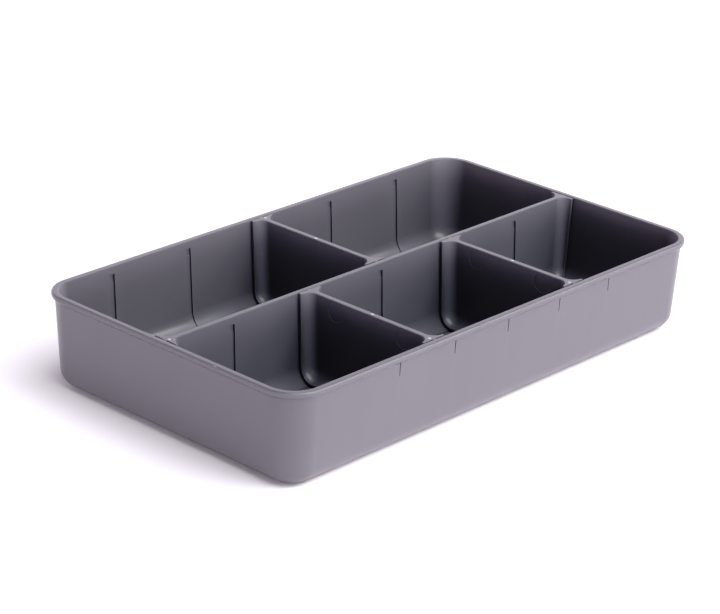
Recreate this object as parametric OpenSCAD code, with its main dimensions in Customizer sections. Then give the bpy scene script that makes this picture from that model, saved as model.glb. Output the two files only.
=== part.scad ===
// Drawer organizer insert: a shallow moulded tray with one long divider and three
// cross dividers that drop in between locating grooves.
//
// Frame: the origin is the centre of the resting face, +X runs along the tray,
// +Y points to its back and +Z is up. Every size is in millimetres.

/* [Tray] */
// Length over the rim
tray_l = 281; // [240:1:340]
// Width over the rim
tray_w = 166; // [140:1:200]
// Height from the resting face to the top of the rim
tray_h = 47.2; // [44:0.1:60]
// Corner radius of the rim, seen from above
corner_r = 17; // [16:0.5:24]
// Thickness of the walls
wall_t = 1.7; // [1.5:0.1:2.4]
// Thickness of the floor
floor_t = 2.2; // [1.8:0.1:3]
// Lean of the walls away from upright, in degrees
wall_draft = 3.4; // [2:0.1:3.8]
// Inside fillet between the walls and the floor
foot_r = 9; // [7:0.5:9]
// Rounding outside between the walls and the underside
outer_foot_r = 9; // [8:0.5:10]

/* [Rim] */
// How far the rim bead stands out from the wall
rim_out = 1.4; // [0.8:0.1:2]
// Height of the upright face of the bead
rim_face_h = 1.3; // [0.8:0.1:3]
// Rounding of the bead's upper edge
rim_round = 0.9; // [0.4:0.1:1.2]

/* [Locating grooves] */
// Spacing of the grooves along the tray
groove_pitch = 48.6; // [40:0.1:52]
// Number of grooves on each long face
groove_count = 5; // [3:2:5]
// Width of a groove
groove_w = 3.2; // [2.4:0.1:3.4]
// Depth of a groove
groove_d = 0.7; // [0.4:0.1:0.7]
// Depth of the pocket at the top of a groove
pocket_d = 0.9; // [0.6:0.1:1]
// Height of that pocket
pocket_h = 3.8; // [2:0.1:6]
// Distance from the rim down to the top of a groove
groove_drop = 4; // [3:0.1:8]

/* [Dividers] */
// Thickness of the long divider at its top
long_t = 2.2; // [2:0.1:3]
// Lean of each face of the long divider, in degrees
long_draft = 2.5; // [1:0.1:3]
// Thickness of the cross dividers
cross_t = 2.8; // [2:0.1:3.2]
// How far the divider tops sit below the rim
top_drop = 0.1; // [0.1:0.1:2]
// Half width of the flange at a divider's end
flange_half = 6.8; // [6:0.1:8]
// Thickness of that flange at its edge
flange_t = 1.2; // [0.8:0.1:1.6]
// Clearance between a divider and what it stands against
gap = 0.6; // [0.3:0.05:0.6]
// Width of the key that runs in a groove
key_w = 2; // [1.2:0.1:2]
// Thickness of the feather edge of the long divider's foot
foot_edge = 0.4; // [0.3:0.05:0.8]

/* [Marks] */
// Spacing of the short slots outside, under the rim
slot_pitch = 36.3; // [30:0.1:40]
// Width of a slot
slot_w = 0.6; // [0.4:0.1:1]
// Length of a slot
slot_h = 6.5; // [3:0.5:8]
// Depth of a slot at its upper end
slot_d = 0.4; // [0.2:0.1:0.6]

/* [Hidden] */
$fn = 64;

eps = 0.05;
divider_top = tray_h - top_drop;
inner_edge = rim_out + wall_t / cos(wall_draft);
rim_low = tray_h - rim_round - rim_face_h;
bay_half_l = tray_l / 2 - corner_r;
bay_half_w = tray_w / 2 - corner_r;
groove_top = tray_h - groove_drop;
groove_low = floor_t + 0.5;
groove_xs = [for (i = [0:groove_count - 1]) (i - (groove_count - 1) / 2) * groove_pitch];
key_high = groove_top - 14;
key_low = floor_t + foot_r + 3;
key_bite = 0.3;
key_clear = 0.1;
inlay = 0.25;
blend = 0.06;
lap = 0.03;
long_edge = long_t / 2 - top_drop * tan(long_draft);
flare_r_long = flange_half - long_t / 2 + blend;
flare_r_cross = flange_half - cross_t / 2 + blend;

// Height of the tangent point between a leaning wall and its foot fillet
function tangent_z(draft, r, base) = base + r - r * sin(draft);
// Distance inwards, at height z, of a wall that is at edge where z = tray_h
function wall_u(edge, draft, z) = edge + (tray_h - z) * tan(draft);
// Centre of the foot fillet of such a wall
function foot_centre(edge, draft, r, base) =
    [wall_u(edge, draft, base + r) + r / cos(draft), base + r];

// Everything inward of a leaning wall and above its foot, up to height top.
// The foot centre stays put when the outline is drawn inset by a clearance.
module cup_side(edge, draft, r, base, top, reach, inset = 0) {
    c = foot_centre(edge, draft, r, base);
    rr = r - inset;
    tangent = [c[0] - rr * cos(draft), c[1] - rr * sin(draft)];
    side_top = wall_u(edge, draft, top) + inset / cos(draft);
    polygon([
        [side_top, top], tangent, c, [c[0], base + inset],
        [reach, base + inset], [reach, top]
    ]);
    translate(c)
        intersection() {
            circle(rr);
            translate([-2 * rr, -2 * rr])
                square([2 * rr, 2 * rr]);
        }
}

// Section of the rim bead, from its outermost face at u = 0
module bead_section() {
    translate([rim_round, tray_h - rim_round])
        intersection() {
            circle(rim_round);
            translate([-rim_round, 0])
                square([rim_round, rim_round]);
        }
    polygon([
        [0, rim_low], [0, tray_h - rim_round], [rim_round, tray_h - rim_round],
        [rim_round, tray_h], [inner_edge - eps, tray_h],
        [inner_edge - eps, rim_low - rim_out - 1], [rim_out + wall_t / 2, rim_low - rim_out - 1],
        [rim_out + eps, rim_low - rim_out]
    ]);
}

// Section through the tray's side: x is the distance inwards from the rim
module tray_section() {
    difference() {
        union() {
            cup_side(rim_out, wall_draft, outer_foot_r, 0, tray_h, corner_r);
            bead_section();
        }
        cup_side(inner_edge, wall_draft, foot_r, floor_t, tray_h + 1, corner_r + 1);
    }
}

// Puts a section on the wall that runs along X at the front, over a length
module along_front(length, half_w) {
    translate([-length / 2, -half_w, 0])
        rotate([90, 0, 90])
            linear_extrude(length)
                children();
}

module tray_shell() {
    for (turn = [0, 180])
        rotate([0, 0, turn]) {
            along_front(2 * bay_half_l, tray_w / 2)
                tray_section();
            rotate([0, 0, 90])
                along_front(2 * bay_half_w, tray_l / 2)
                    tray_section();
        }
    for (sx = [-1, 1], sy = [-1, 1])
        translate([sx * bay_half_l, sy * bay_half_w, 0])
            rotate([0, 0, sx > 0 ? (sy > 0 ? 0 : 270) : (sy > 0 ? 90 : 180)])
                rotate_extrude(angle = 90)
                    translate([corner_r, 0])
                        mirror([1, 0])
                            tray_section();
    translate([-bay_half_l, -bay_half_w, 0])
        cube([2 * bay_half_l, 2 * bay_half_w, floor_t]);
}

// Cutter for one locating groove in the front wall, at x = 0
module wall_groove() {
    along_front(groove_w, tray_w / 2)
        intersection() {
            cup_side(inner_edge - groove_d, wall_draft, foot_r, floor_t, tray_h, corner_r);
            translate([0, groove_low])
                square([corner_r - 1, groove_top - groove_low]);
        }
    along_front(groove_w, tray_w / 2)
        intersection() {
            cup_side(inner_edge - pocket_d, wall_draft, foot_r, floor_t, tray_h, corner_r);
            translate([0, groove_top - pocket_h])
                square([corner_r - 1, pocket_h]);
        }
}

// Cutter for one short slot outside the front wall, at x = 0
module wall_slot() {
    slot_top = rim_low - rim_out - 0.2;
    slot_low = slot_top - slot_h;
    along_front(slot_w, tray_w / 2)
        polygon([
            [0, slot_top], [wall_u(rim_out, wall_draft, slot_top) + slot_d, slot_top],
            [wall_u(rim_out, wall_draft, slot_low) + slot_d / 3, slot_low], [0, slot_low]
        ]);
}

module tray() {
    color("#8d8993")
        difference() {
            tray_shell();
            for (turn = [0, 180], x = groove_xs)
                rotate([0, 0, turn])
                    translate([x, 0, 0])
                        wall_groove();
            for (turn = [90, 270])
                rotate([0, 0, turn])
                    translate([0, tray_w / 2 - tray_l / 2, 0])
                        wall_groove();
            for (i = [-2:2])
                translate([i * slot_pitch, 0, 0])
                    wall_slot();
        }
}

// Section of a flange with its two concave flares. x runs across the divider and
// y is the distance from the surface that the flange stands against. The bent part
// is grown by a hair so that the straight parts end inside it.
module flare_section(r, grow = 0) {
    difference() {
        translate([-flange_half - grow, gap - grow])
            square([2 * (flange_half + grow), flange_t + r + grow - blend]);
        for (side = [-1, 1])
            translate([side * flange_half, gap + flange_t + r])
                circle(r - grow);
    }
}

// Flange and flares against a leaning surface that is at y = edge where z = tray_h,
// with the divider on its +Y side, from the top down and round the foot
module end_flange(edge, draft, r) {
    c = foot_centre(edge, draft, foot_r, floor_t);
    run = (tray_h - tangent_z(draft, foot_r, floor_t)) / cos(draft) + eps;
    translate([0, edge, tray_h])
        rotate([draft, 0, 0])
            translate([0, 0, -run])
                linear_extrude(run + 2)
                    flare_section(r);
    translate([0, c[0], c[1]])
        rotate([90, 0, 90])
            rotate([0, 0, 180 + draft])
                rotate_extrude(angle = 90 - draft)
                    translate([foot_r, 0])
                        rotate(90)
                            flare_section(r, lap);
}

// The key on a flange: a long shallow rib, and below it the part that enters the groove
module end_key(edge, draft) {
    top_run = tray_h / cos(draft);
    translate([0, edge, tray_h])
        rotate([draft, 0, 0]) {
            translate([-key_w / 2, key_clear, key_low - tray_h])
                cube([key_w, gap + flange_t / 2, top_run]);
            translate([-key_w / 2, -key_bite, key_low - tray_h])
                cube([key_w, gap + flange_t / 2, key_high - key_low]);
        }
}

// Side view of a divider that spans from the surface at near to the one at far.
// Each is how far its surface is from y = 0 where z = tray_h, and split is where
// the two halves of the outline meet.
module divider_outline(near, near_draft, far, far_draft, split) {
    translate([-near, 0])
        cup_side(0, near_draft, foot_r, floor_t, tray_h, near + split + eps, gap + inlay);
    mirror([1, 0])
        translate([-far, 0])
            cup_side(0, far_draft, foot_r, floor_t, tray_h, far - split + eps, gap + inlay);
}

// Extrudes a side view, drawn as y and z, to both sides of x = 0
module across(width) {
    rotate([90, 0, 90])
        linear_extrude(width, center = true)
            children();
}

// Cuts a divider off level at its top
module trim_to_top() {
    intersection() {
        children();
        translate([-tray_l / 2, -tray_l / 2, 0])
            cube([tray_l, tray_l, divider_top]);
    }
}

// A cross divider in the front strip, at x = 0, between the front wall and the
// front face of the long divider
module cross_divider() {
    wall = tray_w / 2 - inner_edge;
    near_c = foot_centre(-wall, wall_draft, foot_r, floor_t)[0];
    far_c = -foot_centre(long_edge, long_draft, foot_r, floor_t)[0];
    trim_to_top() {
        across(cross_t)
            divider_outline(wall, wall_draft, -long_edge, long_draft, (near_c + far_c) / 2);
        end_flange(-wall, wall_draft, flare_r_cross);
        end_key(-wall, wall_draft);
        mirror([0, 1, 0]) {
            end_flange(long_edge, long_draft, flare_r_cross);
            end_key(long_edge, long_draft);
        }
        translate([0, far_c + eps, floor_t])
            rotate([90, 0, 0])
                linear_extrude(far_c - near_c + 2 * eps)
                    flare_section(flare_r_cross);
        translate([-key_w / 2, near_c + 1, floor_t])
            cube([key_w, far_c - near_c - 2, gap + flange_t / 2]);
    }
}

// Section across the long divider: two leaning faces that run out into the foot
module long_section() {
    c = foot_centre(long_edge, long_draft, foot_r, floor_t);
    foot_half = c[0] - sqrt(pow(foot_r, 2) - pow(foot_r - foot_edge, 2));
    difference() {
        translate([-foot_half, floor_t])
            square([2 * foot_half, tray_h - floor_t]);
        for (side = [0, 1])
            mirror([side, 0])
                cup_side(long_edge, long_draft, foot_r, floor_t, tray_h + 1, tray_w / 2);
    }
}

// Cutter for one groove and its pocket in the face of the long divider at +X
module long_groove() {
    for (cut = [[groove_d, groove_low, groove_top], [pocket_d, groove_top - pocket_h, groove_top]])
        rotate([90, 0, 0])
            linear_extrude(groove_w, center = true)
                intersection() {
                    cup_side(long_edge - cut[0], long_draft, foot_r, floor_t, tray_h, tray_w / 2);
                    translate([0, cut[1]])
                        square([tray_w / 8, cut[2] - cut[1]]);
                }
}

// Cuts the end of the long divider back to inside its flange
module end_cutter(edge, draft) {
    c = foot_centre(edge, draft, foot_r, floor_t);
    r = foot_r - gap - inlay;
    bend = [for (i = [0:3]) let (a = draft + i * (90 - draft) / 3) c - r * [cos(a), sin(a)]];
    top = [edge + (gap + inlay) / cos(draft), tray_h];
    across(tray_w / 2)
        polygon(concat([top], bend, [[c[0], 0], [edge - corner_r, 0], [edge - corner_r, tray_h]]));
}

// The long divider lying along Y, before it is turned into the tray
module long_divider_along_y() {
    wall = tray_l / 2 - inner_edge;
    difference() {
        trim_to_top() {
            difference() {
                rotate([90, 0, 0])
                    linear_extrude(tray_l, center = true)
                        long_section();
                for (turn = [0, 180])
                    rotate([0, 0, turn])
                        end_cutter(-wall, wall_draft);
            }
            for (turn = [0, 180])
                rotate([0, 0, turn]) {
                    end_flange(-wall, wall_draft, flare_r_long);
                    end_key(-wall, wall_draft);
                }
        }
        for (turn = [0, 180], y = groove_xs)
            rotate([0, 0, turn])
                translate([0, y, 0])
                    long_groove();
    }
}

module long_divider() {
    color("#9a96a0")
        rotate([0, 0, 90])
            long_divider_along_y();
}

module rear_cross_divider() {
    color("#86828c")
        rotate([0, 0, 180])
            cross_divider();
}

module front_left_cross_divider() {
    color("#86828c")
        translate([-groove_pitch, 0, 0])
            cross_divider();
}

module front_right_cross_divider() {
    color("#86828c")
        translate([groove_pitch, 0, 0])
            cross_divider();
}

tray();
long_divider();
rear_cross_divider();
front_left_cross_divider();
front_right_cross_divider();
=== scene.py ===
"""Drawer organizer insert: a moulded tray with one long and three cross dividers.

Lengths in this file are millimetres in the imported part's frame until a mesh is made.
"""
import math

import bmesh
import bpy
from mathutils import Matrix, Vector


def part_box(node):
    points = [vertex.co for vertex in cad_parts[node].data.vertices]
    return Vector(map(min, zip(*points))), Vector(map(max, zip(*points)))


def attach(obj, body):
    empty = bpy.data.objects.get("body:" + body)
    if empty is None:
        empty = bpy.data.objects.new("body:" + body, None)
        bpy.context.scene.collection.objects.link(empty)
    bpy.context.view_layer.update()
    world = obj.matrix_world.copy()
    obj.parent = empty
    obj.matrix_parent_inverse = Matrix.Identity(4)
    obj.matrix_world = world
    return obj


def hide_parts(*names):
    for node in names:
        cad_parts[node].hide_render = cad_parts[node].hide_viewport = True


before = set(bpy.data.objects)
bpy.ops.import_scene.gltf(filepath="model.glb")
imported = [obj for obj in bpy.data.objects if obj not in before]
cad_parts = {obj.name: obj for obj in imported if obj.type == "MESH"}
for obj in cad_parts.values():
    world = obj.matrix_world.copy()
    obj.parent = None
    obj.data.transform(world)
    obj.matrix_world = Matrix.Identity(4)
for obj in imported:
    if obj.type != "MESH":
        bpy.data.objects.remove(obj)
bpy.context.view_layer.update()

MM = 0.001

# ---------------------------------------------------------------- sizes of the part


def box_mm(node):
    low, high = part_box(node)
    return [[c / MM for c in low], [c / MM for c in high]]


TRAY_LOW, TRAY_HIGH = box_mm("tray")
TRAY_L = TRAY_HIGH[0] - TRAY_LOW[0]
TRAY_W = TRAY_HIGH[1] - TRAY_LOW[1]
TRAY_H = TRAY_HIGH[2]
DIVIDER_TOP = box_mm("long_divider")[1][2]
FLOOR_T = box_mm("long_divider")[0][2]

CORNER_R = 17.0
WALL_T = 1.7
WALL_DRAFT = math.radians(3.4)
FOOT_R = 9.0
RIM_OUT = 1.4
RIM_FACE_H = 1.3
RIM_ROUND = 0.9
RIM_INNER_ROUND = 0.35
BEAD_RUN = 1.9
INNER_EDGE = RIM_OUT + WALL_T / math.cos(WALL_DRAFT)
RIM_LOW = TRAY_H - RIM_ROUND - RIM_FACE_H
OUTER_FOOT_R = 9.0
BEAD_OVERLAP = 0.3
INNER_WALL_DROP = 1.0

GROOVE_PITCH = 48.6
REPEATS = (-2, -1, 0, 1, 2)
GROOVE_XS = [i * GROOVE_PITCH for i in REPEATS]
GROOVE_W = 3.2
GROOVE_D = 0.7
POCKET_D = 0.95
POCKET_H = 3.8
GROOVE_TOP = TRAY_H - 4.0
GROOVE_LOW = FLOOR_T + 0.5

LONG_T = 2.2
LONG_DRAFT = math.radians(2.5)
LONG_EDGE = LONG_T / 2 - (TRAY_H - DIVIDER_TOP) * math.tan(LONG_DRAFT)
CROSS_T = 2.8
FLANGE_HALF = 6.8
FLANGE_T = 1.2
GAP = 0.75
KEY_W = 2.0
KEY_CLEAR = 0.08
KEY_BITE = 0.3
KEY_HIGH = GROOVE_TOP - 14.0
KEY_LOW = FLOOR_T + FOOT_R + 3.0
KEY_TOP_DROP = 0.05
KEY_RAMP = 0.3
KEY_LEAD = 1.0
RIB_H = 1.0
RIB_INSET = 1.0
FOOT_EDGE = 0.4
BACK_EDGE = 0.3

# roundings of edges
TOP_ROUND = 0.3
CROSS_ROUND = 0.2
LONG_ROUND = 0.1
SMALL_ROUND = 0.12
SHARP_ANGLE = 60
BELOW_TOP = 0.6
TOP_SLACK = 0.02

SLOT_PITCH = 36.3
SLOT_XS = [i * SLOT_PITCH for i in REPEATS]
SLOT_W = 0.6
SLOT_H = 6.5
SLOT_D = 0.5
SLOT_LOW_D = 0.2
SLOT_BELOW_BEAD = 0.1
SLOT_CUTTER_D = 3.0

# moulding marks: pips and gate stubs on the tops, a nick on the rim and pin rings; the pips,
# stubs and nick are given a pale colour, a painted highlight for the glint on them
MARK_H = TRAY_H - DIVIDER_TOP
CROSS_PIP_X, CROSS_PIP_IN, CROSS_PIP_R = -1.1, 2.5, 0.75
LONG_PIP_X, LONG_PIP_IN, LONG_PIP_R = 0.9, 2.4, 0.7
PIP_SIDES = 14
GATE_X = 0.1
GATE_Y = -TRAY_W / 2 + 41.5
GATE_L = 1.6
GATE_W = 0.9
STUB_SUNK = 0.2
NICK_Y = -35.0
NICK_IN = 0.65
NICK_L = 2.0
NICK_H = 0.3
NICK_DROP = 0.36
RING_R = 4.6
RING_D = 0.13
RING_SLOPE = 0.35
RING_SIDES = 40

# how finely curves and long faces are divided
FOOT_STEPS = 16
WALL_STEPS = 8
BEAD_STEPS = 10
RIM_STEPS = 7
RIM_INNER_STEPS = 5
INNER_WALL_STEPS = 10
CORNER_STEPS = 18
LONG_SIDE_STEPS = 28
SHORT_SIDE_STEPS = 16
GROOVE_FOOT_STEPS = 20
DIVIDER_WALL_STEPS = 8
DIVIDER_FOOT_STEPS = 14
DIVIDER_FLOOR_STEPS = 10
CROSS_FLARE_STEPS = 12
LONG_FLARE_STEPS = 14

# ---------------------------------------------------------------- geometry helpers


def wall_u(edge, draft, z):
    """Distance inwards, at height z, of a leaning surface that is at edge at the rim."""
    return edge + (TRAY_H - z) * math.tan(draft)


def smoothstep(t):
    return t * t * (3 - 2 * t)


def foot_centre(edge, draft, r=FOOT_R, base=FLOOR_T):
    """Centre, as (distance inwards, height), of the bend from a leaning surface to
    the level one at height base."""
    return wall_u(edge, draft, base + r) + r / math.cos(draft), base + r


def arc(cx, cz, r, start, end, steps):
    """Points from angle start to angle end, in degrees, both ends included."""
    angles = [math.radians(start + (end - start) * i / steps) for i in range(steps + 1)]
    return [(cx + r * math.cos(a), cz + r * math.sin(a)) for a in angles]


def mesh_object(name, verts, faces):
    """An object from vertices in millimetres, with its faces turned outwards."""
    mesh = bpy.data.meshes.new(name)
    mesh.from_pydata([[c * MM for c in v] for v in verts], [], faces)
    bm = bmesh.new()
    bm.from_mesh(mesh)
    bmesh.ops.recalc_face_normals(bm, faces=bm.faces)
    bm.to_mesh(mesh)
    bm.free()
    obj = bpy.data.objects.new(name, mesh)
    bpy.context.scene.collection.objects.link(obj)
    return obj


def prism(outline, axis, low, high):
    """Vertices and faces of a closed outline in a vertical plane, drawn out along X or Y."""
    n = len(outline)
    verts = []
    for level in (low, high):
        for a, z in outline:
            verts.append((level, a, z) if axis == "x" else (a, level, z))
    faces = [tuple(range(n)), tuple(range(2 * n - 1, n - 1, -1))]
    faces += [(i, (i + 1) % n, n + (i + 1) % n, n + i) for i in range(n)]
    return verts, faces


def join_parts(parts):
    verts, faces = [], []
    for part_verts, part_faces in parts:
        base = len(verts)
        verts += part_verts
        faces += [tuple(base + i for i in f) for f in part_faces]
    return verts, faces


def turned(part, degrees):
    """A part turned about Z."""
    c, s = math.cos(math.radians(degrees)), math.sin(math.radians(degrees))
    return [(x * c - y * s, x * s + y * c, z) for x, y, z in part[0]], part[1]


def cut(obj, parts):
    """Cuts closed parts out of an object and leaves the result as its mesh."""
    cutter = mesh_object("cutter", *join_parts(parts))
    modifier = obj.modifiers.new("cut", "BOOLEAN")
    modifier.operation = "DIFFERENCE"
    modifier.solver = "EXACT"
    modifier.object = cutter
    graph = bpy.context.evaluated_depsgraph_get()
    mesh = bpy.data.meshes.new_from_object(obj.evaluated_get(graph))
    obj.modifiers.remove(modifier)
    obj.data = mesh
    bpy.data.objects.remove(cutter)


def bevel(obj, choose, width, segments):
    """Rounds the edges for which choose(edge, centre in mm) is true."""
    bm = bmesh.new()
    bm.from_mesh(obj.data)
    edges = [e for e in bm.edges if len(e.link_faces) == 2
             and choose(e, (e.verts[0].co + e.verts[1].co) / (2 * MM))]
    bmesh.ops.bevel(bm, geom=edges, offset=width * MM, segments=segments, profile=0.5,
                    affect="EDGES", clamp_overlap=False)
    bmesh.ops.recalc_face_normals(bm, faces=bm.faces)
    bm.to_mesh(obj.data)
    bm.free()


def is_sharp(edge, degrees=40):
    return edge.calc_face_angle(0) > math.radians(degrees)


def is_top(edge, centre):
    return is_sharp(edge) and centre.z > DIVIDER_TOP - TOP_SLACK


def is_lower_edge(edge, centre):
    return is_sharp(edge, SHARP_ANGLE) and centre.z < DIVIDER_TOP - BELOW_TOP


def add_parts(obj, parts, width=SMALL_ROUND, material_index=0):
    """Adds small closed parts to an object's mesh, with their own edges rounded."""
    extra = mesh_object("extra", *join_parts(parts))
    if width:
        bevel(extra, lambda e, c: is_sharp(e), width, 2)
    for face in extra.data.polygons:
        face.material_index = material_index
    bm = bmesh.new()
    bm.from_mesh(obj.data)
    bm.from_mesh(extra.data)
    bm.to_mesh(obj.data)
    bm.free()
    bpy.data.objects.remove(extra)


def mark_painted_bend_highlights(obj):
    """Stores how far an upright inside surface is turned from the walls it joins, as the
    mask of a painted highlight: the colour is made paler round such a bend."""
    bend_highlight_shares = [1.0] * len(obj.data.vertices)
    is_tray = obj.name == "tray_shell"
    for face in obj.data.polygons:
        n = face.normal
        outside = is_tray and n.x * face.center.x + n.y * face.center.y > 0
        bend = 0.0 if outside else 2 * abs(n.x * n.y)
        for index in face.vertices:
            bend_highlight_shares[index] = min(bend_highlight_shares[index], bend)
    layer = obj.data.attributes.new("bend", "FLOAT", "POINT")
    layer.data.foreach_set("value", bend_highlight_shares)


def finish_surface(obj, material, smooth=32):
    # stores the mask of the painted highlight in the concave bends
    mark_painted_bend_highlights(obj)
    indices = [face.material_index for face in obj.data.polygons]
    obj.data.materials.clear()
    obj.data.materials.append(material)
    # faces of the moulding marks get the pale mark colour, a painted glint
    if any(indices):
        obj.data.materials.append(GLINT_PAINTED_MARK_PLASTIC)
    for face, index in zip(obj.data.polygons, indices):
        face.material_index = index
    obj.data.shade_smooth()
    obj.data.set_sharp_from_angle(angle=math.radians(smooth))
    weighted = obj.modifiers.new("weighted", "WEIGHTED_NORMAL")
    weighted.keep_sharp = True
    weighted.weight = 70


# ---------------------------------------------------------------- tray


def tray_profile():
    """Section of the tray's side as (distance inwards, height), from the underside
    round the outside and the bead to the inside floor."""
    co = foot_centre(RIM_OUT, WALL_DRAFT, OUTER_FOOT_R, 0)
    ci = foot_centre(INNER_EDGE, WALL_DRAFT)
    draft = math.degrees(WALL_DRAFT)
    points = arc(co[0], co[1], OUTER_FOOT_R, 270, 180 + draft, FOOT_STEPS)
    bend_top = points[-1][1]
    low = RIM_LOW - BEAD_RUN
    for i in range(1, WALL_STEPS + 1):
        z = bend_top + (low - bend_top) * i / WALL_STEPS
        points.append((wall_u(RIM_OUT, WALL_DRAFT, z), z))
    # the wall swells smoothly out into the bead
    start = wall_u(RIM_OUT, WALL_DRAFT, low)
    for i in range(1, BEAD_STEPS + 1):
        t = i / BEAD_STEPS
        points.append((start * (1 - smoothstep(t)), low + (BEAD_RUN + BEAD_OVERLAP) * t))
    points += arc(RIM_ROUND, TRAY_H - RIM_ROUND, RIM_ROUND, 180, 90, RIM_STEPS)
    r = RIM_INNER_ROUND
    points += arc(INNER_EDGE - r, TRAY_H - r, r, 90, 0, RIM_INNER_STEPS)
    tangent = ci[1] - FOOT_R * math.sin(WALL_DRAFT)
    high = TRAY_H - INNER_WALL_DROP
    for i in range(1, INNER_WALL_STEPS):
        z = high - (high - tangent) * i / INNER_WALL_STEPS
        points.append((wall_u(INNER_EDGE, WALL_DRAFT, z), z))
    points += arc(ci[0], ci[1], FOOT_R, 180 + draft, 270, FOOT_STEPS)
    return points


def tray_path():
    """Stations round the rim as (point on its outer line, inward direction)."""
    half_l, half_w = TRAY_L / 2, TRAY_W / 2
    bay_l, bay_w = half_l - CORNER_R, half_w - CORNER_R
    stations = []
    sides = [((-bay_l, -half_w), (bay_l, -half_w), LONG_SIDE_STEPS),
             ((half_l, -bay_w), (half_l, bay_w), SHORT_SIDE_STEPS),
             ((bay_l, half_w), (-bay_l, half_w), LONG_SIDE_STEPS),
             ((-half_l, bay_w), (-half_l, -bay_w), SHORT_SIDE_STEPS)]
    for k, (a, b, steps) in enumerate(sides):
        inward = [(0, 1), (-1, 0), (0, -1), (1, 0)][k]
        for i in range(steps):
            t = i / steps
            stations.append(((a[0] + (b[0] - a[0]) * t, a[1] + (b[1] - a[1]) * t), inward))
        centre = [(bay_l, -bay_w), (bay_l, bay_w), (-bay_l, bay_w), (-bay_l, -bay_w)][k]
        for i in range(CORNER_STEPS):
            angle = math.radians(-90 + 90 * k + 90 * i / CORNER_STEPS)
            out = (math.cos(angle), math.sin(angle))
            stations.append(((centre[0] + CORNER_R * out[0], centre[1] + CORNER_R * out[1]),
                             (-out[0], -out[1])))
    return stations


def groove_outline(edge, draft):
    """Cutter section for a locating groove with its deeper pocket, in (inwards, height)."""
    points = [(wall_u(edge, draft, GROOVE_TOP) - POCKET_D, GROOVE_TOP),
              (wall_u(edge, draft, GROOVE_TOP - POCKET_H) - POCKET_D, GROOVE_TOP - POCKET_H),
              (wall_u(edge, draft, GROOVE_TOP - POCKET_H) - GROOVE_D, GROOVE_TOP - POCKET_H)]
    cx, cz = foot_centre(edge, draft)
    start = 180 + math.degrees(draft)
    for u, z in arc(cx - GROOVE_D, cz, FOOT_R, start, 270, GROOVE_FOOT_STEPS):
        if z > GROOVE_LOW:
            points.append((u, z))
    points.append((points[-1][0], GROOVE_TOP))
    return points


def build_tray():
    profile = tray_profile()
    path = tray_path()
    rows = len(profile)
    verts = [(p[0] + n[0] * u, p[1] + n[1] * u, z) for p, n in path for u, z in profile]
    faces = []
    count = len(path)
    for i in range(count):
        j = (i + 1) % count
        for k in range(rows - 1):
            faces.append((i * rows + k, j * rows + k, j * rows + k + 1, i * rows + k + 1))
    faces.append(tuple(i * rows for i in range(count)))
    faces.append(tuple(i * rows + rows - 1 for i in range(count)))
    tray = mesh_object("tray_shell", verts, faces)

    cutters = []
    outline = groove_outline(INNER_EDGE, WALL_DRAFT)
    for x in GROOVE_XS:
        front = [(u - TRAY_W / 2, z) for u, z in outline]
        part = prism(front, "x", x - GROOVE_W / 2, x + GROOVE_W / 2)
        cutters += [part, turned(part, 180)]
    side = prism([(u - TRAY_L / 2, z) for u, z in outline], "x", -GROOVE_W / 2, GROOVE_W / 2)
    cutters += [turned(side, 90), turned(side, 270)]
    top = RIM_LOW - RIM_OUT - SLOT_BELOW_BEAD
    low = top - SLOT_H
    shallow = wall_u(RIM_OUT, WALL_DRAFT, low) - TRAY_W / 2 + SLOT_LOW_D
    deep = wall_u(RIM_OUT, WALL_DRAFT, top) - TRAY_W / 2 + SLOT_D
    outer = deep - SLOT_CUTTER_D
    outline = [(outer, top), (deep, top), (shallow, low), (outer, low)]
    for x in SLOT_XS:
        cutters.append(prism(outline, "x", x - SLOT_W / 2, x + SLOT_W / 2))
    cut(tray, cutters)
    # the nick takes material 1, the pale mark colour that paints its glint
    nick = gate_stub(-TRAY_L / 2 + NICK_IN, NICK_Y, NICK_L, GATE_W, NICK_H,
                     TRAY_H - NICK_DROP)
    add_parts(tray, [nick], 0, 1)
    return tray


# ---------------------------------------------------------------- dividers


def divider_stations(near, far):
    """Stations along a divider's edge, from the top of one end down, along the floor
    and up the other. near and far are (edge, draft) of the surfaces it stands against,
    edge being measured from v = 0. Each station is (how far it is round to the floor,
    function from the distance off the surface to a point (v, z))."""
    stations = []

    def end(edge, draft, sign):
        cv, cz = foot_centre(edge, draft)

        def straight(t):
            def at(d):
                top = (wall_u(edge, draft, DIVIDER_TOP) + d / math.cos(draft), DIVIDER_TOP)
                low = (cv - (FOOT_R - d) * math.cos(draft), cz - (FOOT_R - d) * math.sin(draft))
                return (sign * (top[0] + (low[0] - top[0]) * t), top[1] + (low[1] - top[1]) * t)
            return at

        def bend(angle):
            def at(d):
                return (sign * (cv - (FOOT_R - d) * math.cos(angle)),
                        cz - (FOOT_R - d) * math.sin(angle))
            return at

        run = [(0.0, straight(i / DIVIDER_WALL_STEPS)) for i in range(DIVIDER_WALL_STEPS)]
        steps = DIVIDER_FOOT_STEPS
        run += [(i / steps, bend(draft + (math.pi / 2 - draft) * i / steps))
                for i in range(steps + 1)]
        return run, cv

    near_run, near_c = end(near[0], near[1], 1)
    far_run, far_c = end(far[0], far[1], -1)
    stations += near_run
    for i in range(1, DIVIDER_FLOOR_STEPS):
        v = near_c + (-far_c - near_c) * i / DIVIDER_FLOOR_STEPS
        stations.append((1.0, lambda d, v=v: (v, FLOOR_T + d)))
    stations += reversed(far_run)
    return stations


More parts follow.
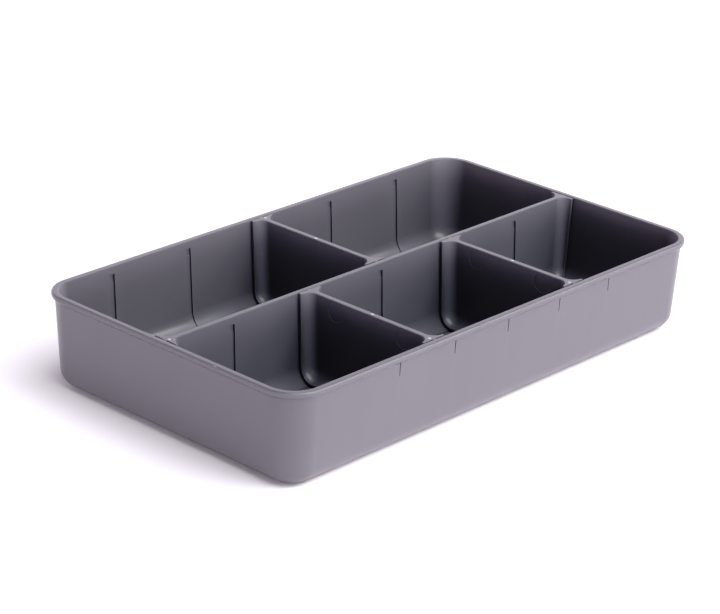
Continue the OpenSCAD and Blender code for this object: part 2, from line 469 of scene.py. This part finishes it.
def build_divider(name, near, far, half_t, flare_steps, foot=None):
    """A divider's body along v with its flanges and flares. half_t(z) is half its
    thickness; foot gives the section along the floor, if it isn't the flange's."""
    flare_r = FLANGE_HALF - half_t(DIVIDER_TOP)
    rows = []
    for share, at in divider_stations(near, far):
        half = []
        z_end = at(GAP + FLANGE_T + flare_r)[1]
        half.append((0, GAP))
        half.append((FLANGE_HALF, GAP))
        for k in range(flare_steps + 1):
            angle = math.pi / 2 * k / flare_steps
            reach = FLANGE_HALF - half_t(z_end)
            half.append((FLANGE_HALF - reach * math.sin(angle),
                         GAP + FLANGE_T + flare_r * (1 - math.cos(angle))))
        if foot and share > 0:
            blend = smoothstep(share)
            half = [(a[0] + (b[0] - a[0]) * blend, a[1] + (b[1] - a[1]) * blend)
                    for a, b in zip(half, foot(flare_steps))]
            z_end = at(half[-1][1])[1]
        half[-1] = (half_t(z_end), half[-1][1])
        ring = [(-w, d) for w, d in reversed(half)] + half[1:]
        rows.append([(w,) + at(d) for w, d in ring])
    verts = [p for row in rows for p in row]
    n = len(rows[0])
    faces = [(i * n + k, (i + 1) * n + k, (i + 1) * n + k + 1, i * n + k + 1)
             for i in range(len(rows) - 1) for k in range(n - 1)]
    faces.append(tuple(i * n for i in range(len(rows))))
    faces.append(tuple(i * n + n - 1 for i in reversed(range(len(rows)))))
    last = (len(rows) - 1) * n
    faces.append(tuple(range(n)) + tuple(range(last + n - 1, last - 1, -1)))
    return mesh_object(name, verts, faces)


def end_key(edge, draft):
    """Outline in (v, z) of the key on a flange: shallow above, deeper in the groove."""
    def at(d, z):
        return (wall_u(edge, draft, z) + d / math.cos(draft), z)
    top = DIVIDER_TOP - KEY_TOP_DROP
    outline = [at(KEY_CLEAR, top), at(KEY_CLEAR, KEY_HIGH), at(-KEY_BITE, KEY_HIGH - KEY_RAMP),
               at(-KEY_BITE, KEY_LOW + KEY_LEAD), at(KEY_CLEAR, KEY_LOW),
               at(GAP + FLANGE_T / 2, KEY_LOW), at(GAP + FLANGE_T / 2, top)]
    return prism(outline, "x", -KEY_W / 2, KEY_W / 2)


def pip(x, y, r, h):
    """A small domed bump on a divider's top, at x and y."""
    sides, verts, faces = PIP_SIDES, [], []
    # rings up the dome, as shares of the radius and of the height
    levels = [(1.0, -0.2), (0.92, 0.45), (0.62, 0.85)]
    for scale, height in levels:
        for i in range(sides):
            a = 2 * math.pi * i / sides
            verts.append((x + r * scale * math.cos(a), y + r * scale * math.sin(a),
                          DIVIDER_TOP + h * height))
    verts.append((x, y, DIVIDER_TOP + h))
    for k in range(len(levels) - 1):
        for i in range(sides):
            j = (i + 1) % sides
            faces.append((k * sides + i, k * sides + j, (k + 1) * sides + j, (k + 1) * sides + i))
    top = (len(levels) - 1) * sides
    faces += [(top + i, top + (i + 1) % sides, top + sides) for i in range(sides)]
    faces.append(tuple(reversed(range(sides))))
    return verts, faces


def gate_stub(x, y, along, across, h, z=DIVIDER_TOP):
    """What is left of a cut-off gate: a low block with a slanting top."""
    corners = ((-1, -1), (1, -1), (1, 1), (-1, 1))
    verts = [(x + sx * across / 2, y + sy * along / 2, z - STUB_SUNK) for sx, sy in corners]
    # the top is smaller than the foot, and each of its corners has its own height
    for (sx, sy), share in zip(corners, (0.7, 1.0, 0.85, 0.5)):
        verts.append((x + sx * across * 0.38, y + sy * along * 0.42, z + h * share))
    faces = [(3, 2, 1, 0), (4, 5, 6, 7)]
    faces += [(i, (i + 1) % 4, 4 + (i + 1) % 4, 4 + i) for i in range(4)]
    return verts, faces


def ring_cutter(x, y, z, r, depth, side):
    """A shallow round recess with slanting sides, in the face at x that looks along side."""
    sides, verts = RING_SIDES, []
    for radius, out in ((r + RING_SLOPE, RING_SLOPE), (r, -depth)):
        for i in range(sides):
            a = 2 * math.pi * i / sides
            verts.append((x + side * out, y + radius * math.cos(a), z + radius * math.sin(a)))
    faces = [tuple(range(sides)), tuple(reversed(range(sides, 2 * sides)))]
    faces += [(i, (i + 1) % sides, sides + (i + 1) % sides, sides + i) for i in range(sides)]
    return verts, faces


def build_cross(name, marks):
    """A cross divider of the front strip, at x = 0, from the front wall to the long
    divider. marks are (y, z) of the round pin marks."""
    wall = -(TRAY_W / 2 - INNER_EDGE)
    obj = build_divider(name, (wall, WALL_DRAFT), (LONG_EDGE, LONG_DRAFT),
                        lambda z: CROSS_T / 2, CROSS_FLARE_STEPS)
    low, high = wall + GAP + BACK_EDGE, -LONG_EDGE - GAP - BACK_EDGE
    bevel(obj, lambda e, c: is_top(e, c) and low < c.y < high, TOP_ROUND, 3)
    bevel(obj, is_lower_edge, CROSS_ROUND, 2)
    cut(obj, [ring_cutter(-CROSS_T / 2, y, z, RING_R, RING_D, -1) for y, z in marks])
    far = turned(end_key(LONG_EDGE, LONG_DRAFT), 180)
    near_c = foot_centre(wall, WALL_DRAFT)[0]
    far_c = -foot_centre(LONG_EDGE, LONG_DRAFT)[0]
    rib_low, rib_high = near_c + RIB_INSET, far_c - RIB_INSET
    rib = prism([(rib_low, FLOOR_T), (rib_high, FLOOR_T), (rib_high, FLOOR_T + RIB_H),
                 (rib_low, FLOOR_T + RIB_H)], "x", -KEY_W / 2, KEY_W / 2)
    add_parts(obj, [end_key(wall, WALL_DRAFT), far, rib])
    # the pip and the gate stub take material 1, the pale mark colour that paints their glint
    add_parts(obj, [pip(CROSS_PIP_X, wall + CROSS_PIP_IN, CROSS_PIP_R, MARK_H)], 0, 1)
    add_parts(obj, [gate_stub(GATE_X, GATE_Y, GATE_L, GATE_W, MARK_H)], 0, 1)
    return obj


def long_half(z):
    return LONG_EDGE + (TRAY_H - z) * math.tan(LONG_DRAFT)


def long_foot(steps):
    """Half section of the long divider's foot as (across, distance off the floor)."""
    cw, cz = foot_centre(LONG_EDGE, LONG_DRAFT)
    first = math.asin(math.sqrt(FOOT_R ** 2 - (FOOT_R - FOOT_EDGE) ** 2) / FOOT_R)
    edge = cw - FOOT_R * math.sin(first)
    half = [(0, 0), (edge, 0)]
    for k in range(steps + 1):
        angle = first + (math.pi / 2 - LONG_DRAFT - first) * k / steps
        half.append((cw - FOOT_R * math.sin(angle), FOOT_R * (1 - math.cos(angle))))
    return half


def build_long():
    """The long divider, made along Y and then turned to lie along X."""
    wall = -(TRAY_L / 2 - INNER_EDGE)
    obj = build_divider("long_divider_body", (wall, WALL_DRAFT), (wall, WALL_DRAFT),
                        long_half, LONG_FLARE_STEPS, long_foot)
    reach = -wall - GAP - BACK_EDGE
    bevel(obj, lambda e, c: is_top(e, c) and abs(c.y) < reach, TOP_ROUND, 3)
    bevel(obj, is_lower_edge, LONG_ROUND, 2)
    outline = groove_outline(LONG_EDGE, LONG_DRAFT)
    cutters = []
    for y in GROOVE_XS:
        part = prism(outline, "y", y - GROOVE_W / 2, y + GROOVE_W / 2)
        cutters += [part, turned(part, 180)]
    cut(obj, cutters)
    key = end_key(wall, WALL_DRAFT)
    add_parts(obj, [key, turned(key, 180)])
    # the pip takes material 1, the pale mark colour that paints its glint
    add_parts(obj, [pip(LONG_PIP_X, wall + LONG_PIP_IN, LONG_PIP_R, MARK_H)], 0, 1)
    obj.data.transform(Matrix.Rotation(math.radians(-90), 4, "Z"))
    return obj


# ---------------------------------------------------------------- materials

# how much each effect changes the plastic's tone, as a share of the base colour
MOTTLE_TONE = 0.10
FLOW_TONE = 0.10
GRAIN_TONE = 0.05
WORN_EDGE_TONE = 0.22
# painted highlight: how much paler the concave bends are made
PAINTED_BEND_HIGHLIGHT_TONE = 0.9
STREAK_TONE = 0.16
DUST_MIX = 0.1
DUST_COLOUR = (0.55, 0.54, 0.56, 1)
# and its roughness
SATIN = 0.28
MOTTLE_ROUGH = 0.08
FLOW_ROUGH = 0.12
DUST_ROUGH = 0.3
PLASTIC_IOR = 1.5
STREAK_REACH = 2.4 * SLOT_PITCH


def node(tree, kind, **values):
    """A shader node with its properties and unlinked inputs set."""
    made = tree.nodes.new(kind)
    for key, value in values.items():
        if key.startswith("in_"):
            made.inputs[key[3:].replace("_", " ")].default_value = value
        else:
            setattr(made, key, value)
    return made


def maths(tree, operation, a, b=None, c=None, clamp=False):
    made = tree.nodes.new("ShaderNodeMath")
    made.operation = operation
    made.use_clamp = clamp
    for i, value in enumerate((a, b, c)):
        if value is None:
            continue
        if isinstance(value, (int, float)):
            made.inputs[i].default_value = value
        else:
            tree.links.new(value, made.inputs[i])
    return made.outputs[0]


def noise(tree, vector, scale, stretch=(1, 1, 1), detail=2.0, shift=(0, 0, 0)):
    mapping = tree.nodes.new("ShaderNodeMapping")
    mapping.inputs["Scale"].default_value = stretch
    mapping.inputs["Location"].default_value = shift
    tree.links.new(vector, mapping.inputs["Vector"])
    made = tree.nodes.new("ShaderNodeTexNoise")
    made.inputs["Scale"].default_value = scale
    made.inputs["Detail"].default_value = detail
    tree.links.new(mapping.outputs[0], made.inputs["Vector"])
    return made.outputs["Fac"]


def ramp(tree, value, stops):
    made = tree.nodes.new("ShaderNodeValToRGB")
    elements = made.color_ramp.elements
    while len(elements) < len(stops):
        elements.new(0.5)
    for element, (position, colour) in zip(elements, stops):
        element.position = position
        element.color = (*colour, 1)
    tree.links.new(value, made.inputs[0])
    return made.outputs[0]


def slot_streaks(tree, coords):
    """1 along a faint upright band below each slot on the outside of the front wall,
    fading towards the foot, and 0 elsewhere."""
    split = tree.nodes.new("ShaderNodeSeparateXYZ")
    tree.links.new(coords, split.inputs[0])
    x, y, z = split.outputs
    turns = maths(tree, "DIVIDE", x, SLOT_PITCH * MM)
    off = maths(tree, "ABSOLUTE", maths(tree, "SUBTRACT", turns, maths(tree, "ROUND", turns)))
    line = maths(tree, "SUBTRACT", 1, maths(tree, "MULTIPLY", off, 22), clamp=True)
    near = maths(tree, "LESS_THAN", maths(tree, "ABSOLUTE", x), STREAK_REACH * MM)
    outside = maths(tree, "LESS_THAN", y, -(TRAY_W / 2 - 5) * MM)
    fade = maths(tree, "MULTIPLY_ADD", z, 34, -0.5, clamp=True)
    return maths(tree, "MULTIPLY", maths(tree, "MULTIPLY", line, near),
                 maths(tree, "MULTIPLY", outside, fade))


def moulded_plastic(name, base, shift, streaks=False):
    """Satin moulded plastic: faint mottling, upright flow marks, fine grain, a little
    wear on the edges, a painted highlight in the concave bends and a few faint specks of dust."""
    material = bpy.data.materials.new(name)
    material.use_nodes = True
    tree = material.node_tree
    shader = tree.nodes["Principled BSDF"]
    coords = tree.nodes.new("ShaderNodeTexCoord").outputs["Object"]
    mottle = noise(tree, coords, 22, detail=3, shift=shift)
    flow = noise(tree, coords, 60, stretch=(1, 1, 0.12), detail=4, shift=shift)
    grain = noise(tree, coords, 5200, detail=1, shift=shift)

    tone = maths(tree, "MULTIPLY_ADD", mottle, MOTTLE_TONE, 1 - MOTTLE_TONE / 2)
    uneven_flow = maths(tree, "SUBTRACT", flow, 0.5)
    tone = maths(tree, "MULTIPLY_ADD", uneven_flow, FLOW_TONE, tone)
    tone = maths(tree, "MULTIPLY_ADD", maths(tree, "SUBTRACT", grain, 0.5), GRAIN_TONE, tone)
    geometry = tree.nodes.new("ShaderNodeNewGeometry")
    edge = maths(tree, "MULTIPLY_ADD", geometry.outputs["Pointiness"], 9.0, -4.75, clamp=True)
    tone = maths(tree, "MULTIPLY_ADD", edge, WORN_EDGE_TONE, tone)
    # painted highlight: the concave bends are made paler, standing in for light gathered there
    bend = node(tree, "ShaderNodeAttribute", attribute_name="bend").outputs["Fac"]
    tone = maths(tree, "MULTIPLY_ADD", bend, PAINTED_BEND_HIGHLIGHT_TONE, tone)
    if streaks:
        line = maths(tree, "MULTIPLY", slot_streaks(tree, coords),
                     noise(tree, coords, 130, stretch=(1, 1, 0.3), shift=shift))
        tone = maths(tree, "MULTIPLY_ADD", line, STREAK_TONE, tone)
    colour = node(tree, "ShaderNodeVectorMath", operation="SCALE")
    colour.inputs[0].default_value = base
    tree.links.new(tone, colour.inputs["Scale"])
    cells = node(tree, "ShaderNodeTexVoronoi", in_Scale=160.0, in_Randomness=1.0)
    tree.links.new(coords, cells.inputs["Vector"])
    size = noise(tree, coords, 90, shift=(3, 1, 2))
    speck = maths(tree, "LESS_THAN", cells.outputs["Distance"],
                  maths(tree, "MULTIPLY_ADD", size, 0.42, -0.235))
    mixed = node(tree, "ShaderNodeMix", data_type="RGBA")
    tree.links.new(maths(tree, "MULTIPLY", speck, DUST_MIX), mixed.inputs["Factor"])
    tree.links.new(colour.outputs[0], mixed.inputs["A"])
    mixed.inputs["B"].default_value = DUST_COLOUR
    tree.links.new(mixed.outputs["Result"], shader.inputs["Base Color"])

    rough = maths(tree, "MULTIPLY_ADD", mottle, MOTTLE_ROUGH, SATIN)
    rough = maths(tree, "MULTIPLY_ADD", uneven_flow, FLOW_ROUGH, rough)
    rough = maths(tree, "MULTIPLY_ADD", speck, DUST_ROUGH, rough, clamp=True)
    tree.links.new(rough, shader.inputs["Roughness"])
    shader.inputs["IOR"].default_value = PLASTIC_IOR

    bump = node(tree, "ShaderNodeBump", in_Strength=0.35, in_Distance=0.00003)
    tree.links.new(grain, bump.inputs["Height"])
    waves = node(tree, "ShaderNodeBump", in_Strength=0.3, in_Distance=0.0002)
    tree.links.new(flow, waves.inputs["Height"])
    tree.links.new(bump.outputs[0], waves.inputs["Normal"])
    tree.links.new(waves.outputs[0], shader.inputs["Normal"])
    return material


# the marks' pale colour is a painted highlight: it stands in for the glint on these small bumps
GLINT_PAINTED_MARK_PLASTIC = moulded_plastic("gate_mark_painted_glint_plastic", (0.42, 0.4, 0.44), (7, 7, 1))
TRAY_PLASTIC = moulded_plastic("tray_satin_plastic", (0.092, 0.087, 0.103), (0, 0, 0), True)
DIVIDER_PLASTIC = moulded_plastic("divider_satin_plastic", (0.082, 0.08, 0.096), (5, 2, 9))

# ---------------------------------------------------------------- the object


def place(obj, body, material, nodes):
    finish_surface(obj, material)
    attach(obj, body)
    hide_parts(*nodes)


place(build_tray(), "tray", TRAY_PLASTIC, ["tray"])
place(build_long(), "long_divider", DIVIDER_PLASTIC, ["long_divider"])

FRONT = -TRAY_W / 2
CROSS = {
    "front_left_cross_divider": (0, [(FRONT + 20.8, DIVIDER_TOP - 5.5), (FRONT + 63, 41.4)]),
    "front_right_cross_divider": (0, [(FRONT + 21.6, 41.7), (FRONT + 62.6, 41.4)]),
    "rear_cross_divider": (180, [(FRONT + 20.5, 41.7)]),
}
for cad_node, (turn, marks) in CROSS.items():
    low, high = box_mm(cad_node)
    divider = build_cross(cad_node + "_body", marks)
    shift = Matrix.Translation(((low[0] + high[0]) / 2 * MM, 0, 0))
    divider.data.transform(shift @ Matrix.Rotation(math.radians(turn), 4, "Z"))
    place(divider, cad_node, DIVIDER_PLASTIC, [cad_node])

# ---------------------------------------------------------------- floor, light, camera


def plain_floor():
    bpy.ops.mesh.primitive_plane_add(size=8, location=(0, 0, -0.0001))
    floor = bpy.context.object
    floor.name = "studio_floor"
    material = bpy.data.materials.new("studio_floor")
    material.use_nodes = True
    shader = material.node_tree.nodes["Principled BSDF"]
    shader.inputs["Base Color"].default_value = (0.92, 0.86, 0.92, 1)
    shader.inputs["Roughness"].default_value = 0.7
    shader.inputs["Emission Color"].default_value = (1, 0.955, 1, 1)
    shader.inputs["Emission Strength"].default_value = 0.05
    floor.data.materials.append(material)


def softbox(name, place_at, aim, size, power, colour=(1, 1, 1)):
    light = bpy.data.lights.new(name, "AREA")
    light.shape = "RECTANGLE"
    light.size, light.size_y = size
    light.energy = power
    light.color = colour
    obj = bpy.data.objects.new(name, light)
    obj.location = place_at
    obj.rotation_euler = (Vector(aim) - Vector(place_at)).to_track_quat("-Z", "Y").to_euler()
    bpy.context.scene.collection.objects.link(obj)


def sky_light(name, towards, strength, spread, colour):
    """A large soft light, far away, seen in the given direction."""
    light = bpy.data.lights.new(name, "SUN")
    light.energy = strength
    light.angle = math.radians(spread)
    light.color = colour
    obj = bpy.data.objects.new(name, light)
    obj.rotation_euler = Vector(towards).to_track_quat("Z", "Y").to_euler()
    bpy.context.scene.collection.objects.link(obj)


plain_floor()
sky_light("key_sky", (0.15, -0.52, 1.0), 3.7, 60, (0.96, 1, 1))
softbox("front_high", (0.45, -1.15, 1.3), (0, 0, 0.03), (0.9, 0.6), 8, (0.95, 1, 1))
softbox("front_low", (0.3, -1.8, 0.2), (0, 0, 0.03), (2.0, 0.3), 13)
softbox("right_front", (1.2, -1.0, 0.85), (0, 0, 0.03), (0.6, 0.45), 9)
softbox("left_low", (-1.8, -0.7, 0.12), (0, 0, 0.02), (2.2, 0.2), 8)
softbox("back_left", (-0.6, 0.93, 1.0), (0, 0, 0.03), (0.6, 0.6), 1.3)


HORIZON = (1, 0.895, 1)
HAZE = (0.9, 0.81, 0.91)
CEILING = (0.015, 0.015, 0.017)
SIDE_TILT = -0.13
WORLD_STRENGTH = 2.35


def studio_world():
    """A bright backdrop near the horizon, lower on the left, and a dim ceiling."""
    world = bpy.data.worlds.new("studio")
    world.use_nodes = True
    tree = world.node_tree
    split = tree.nodes.new("ShaderNodeSeparateXYZ")
    tree.links.new(tree.nodes.new("ShaderNodeTexCoord").outputs["Generated"], split.inputs[0])
    height = maths(tree, "MULTIPLY_ADD", split.outputs["X"], SIDE_TILT, split.outputs["Z"])
    sky = ramp(tree, height, [(0.0, HORIZON), (0.24, HAZE), (0.42, CEILING), (1.0, CEILING)])
    tree.links.new(sky, tree.nodes["Background"].inputs["Color"])
    tree.nodes["Background"].inputs["Strength"].default_value = WORLD_STRENGTH
    bpy.context.scene.world = world


studio_world()

SENSOR_W = 36
LENS = 131.05
CAM_AT = (-0.85015, -0.77650, 0.50591)
CAM_RIGHT = Vector((0.68861871, -0.72447996, 0.03054617))
CAM_UP = Vector((0.26072674, 0.28668934, 0.92186267))
CAM_BACK = CAM_RIGHT.cross(CAM_UP)

camera = bpy.data.objects.new("camera", bpy.data.cameras.new("camera"))
camera.data.sensor_width = SENSOR_W
camera.data.lens = LENS
camera.data.clip_end = 20
camera.matrix_world = Matrix.Translation(CAM_AT) @ Matrix(
    (CAM_RIGHT, CAM_UP, CAM_BACK)).transposed().to_4x4()
bpy.context.scene.collection.objects.link(camera)
bpy.context.scene.camera = camera
view = bpy.context.scene.view_settings
view.view_transform = "Standard"

# a camera's response, which deepens the darkest tones
view.use_curve_mapping = True
tones = view.curve_mapping.curves[3]
for place_in, place_out in ((0.024, 0.010), (0.06, 0.052), (0.1, 0.1)):
    tones.points.new(place_in, place_out)
view.curve_mapping.update()
